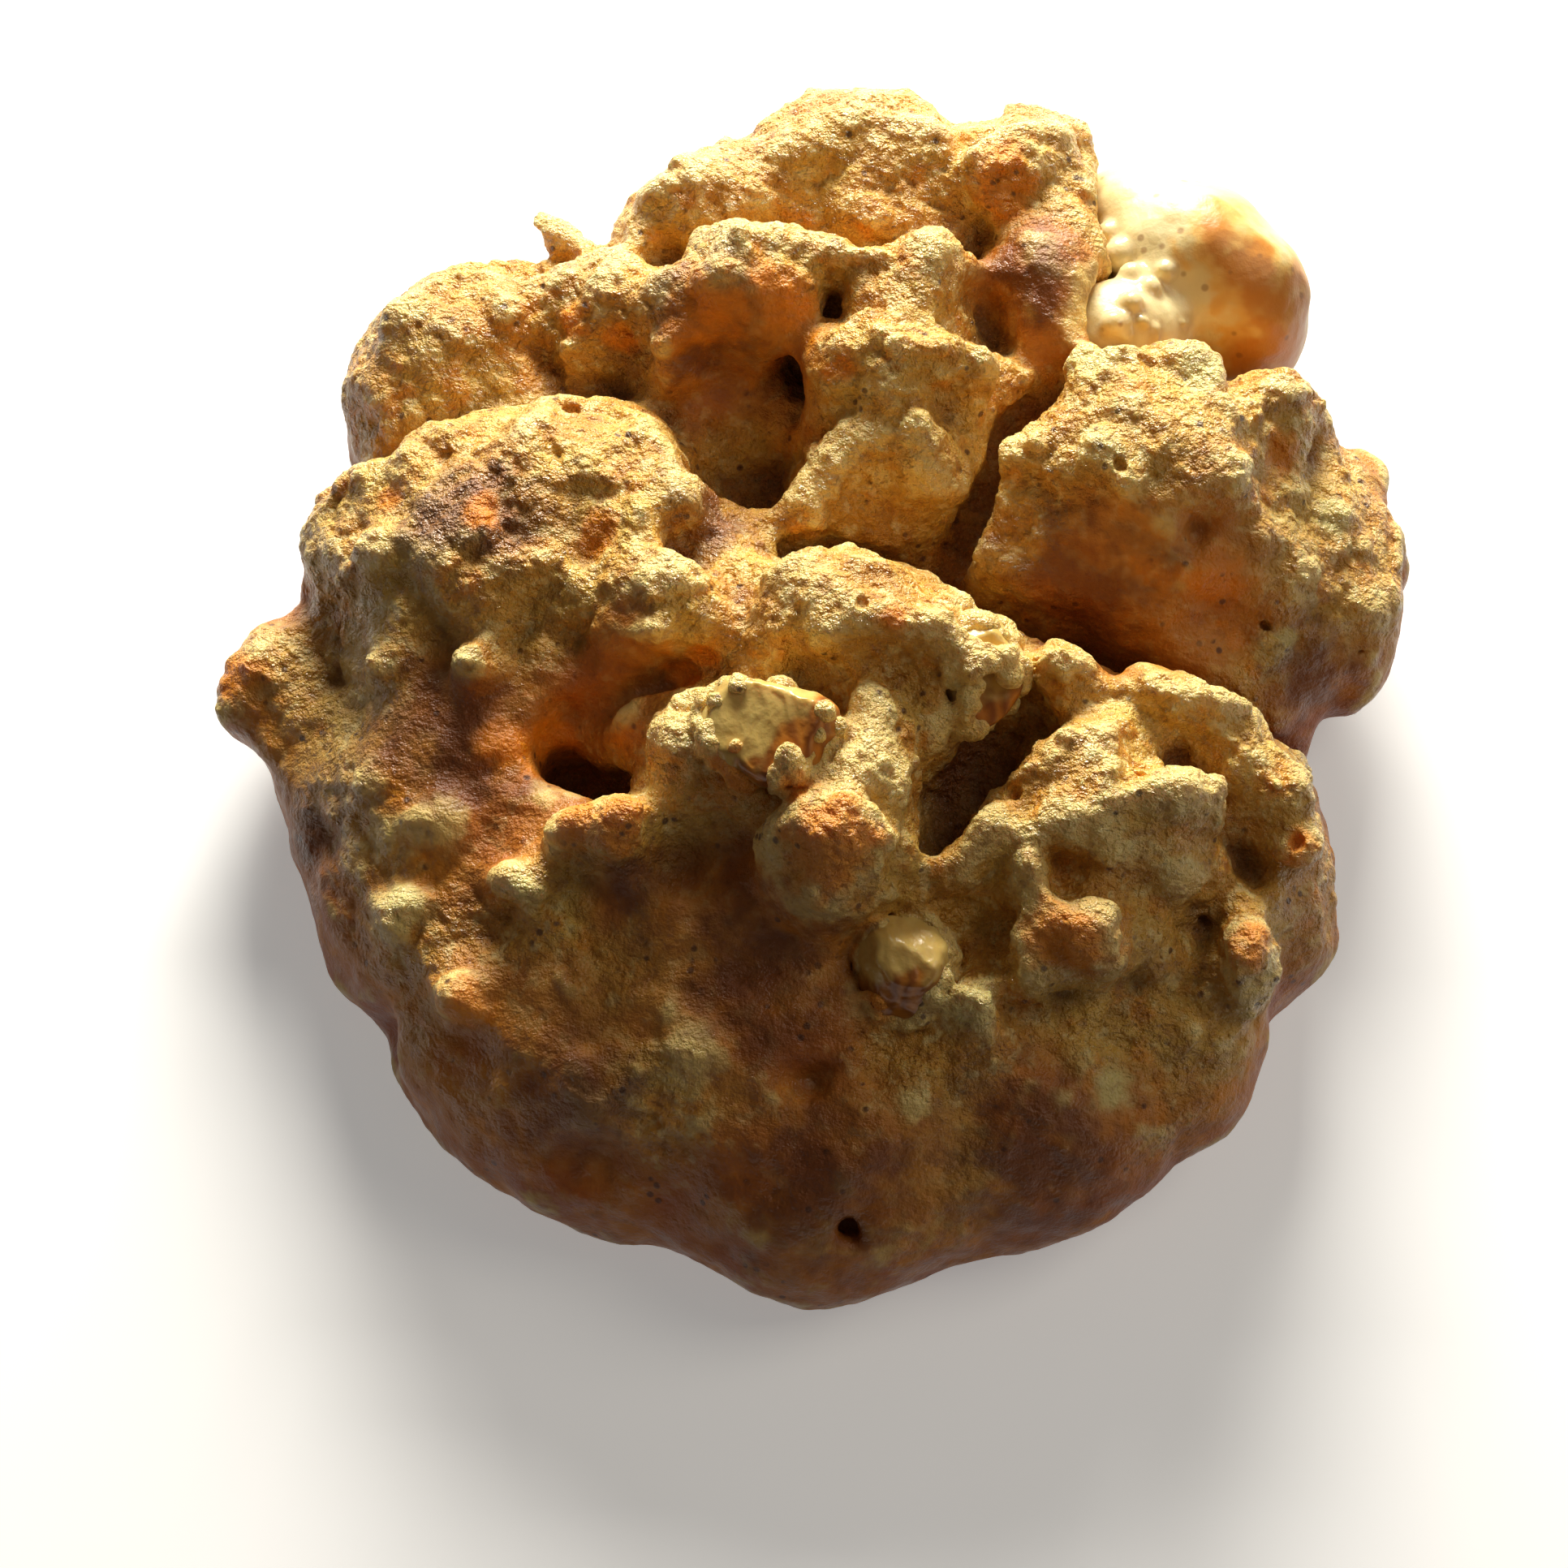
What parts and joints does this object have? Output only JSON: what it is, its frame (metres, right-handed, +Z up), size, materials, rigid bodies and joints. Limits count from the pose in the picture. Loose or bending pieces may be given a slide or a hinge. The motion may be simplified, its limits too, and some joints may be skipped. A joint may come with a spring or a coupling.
{
  "type": "walnut cookie",
  "caption": "Thick hand-dropped cookie: craggy torn top, smooth browned sides, flat underside, with walnut pieces and one pale half-melted chunk.",
  "frame": {"origin": "middle of the flat underside, on the surface the cookie rests on", "axes": "+Z up, away from the flat underside; +X to the right and +Y to the top of the picture, towards the side with the pale chunk"},
  "size_m": [0.0829, 0.0861, 0.0284],
  "materials": {
    "baked_dough": "baked crumb, browned and slightly moist; stands in for baked dough",
    "pale_melt": "smooth satin, half melted; stands in for a pale confectionery chunk",
    "walnut": "broken nut flesh with a thin brown skin, slightly oily"
  },
  "bodies": {
    "root": {"dough": "baked_dough", "pale_chunk": "pale_melt", "walnut_crest": "walnut", "walnut_middle": "walnut", "walnut_south": "walnut"}
  },
  "joints": []
}
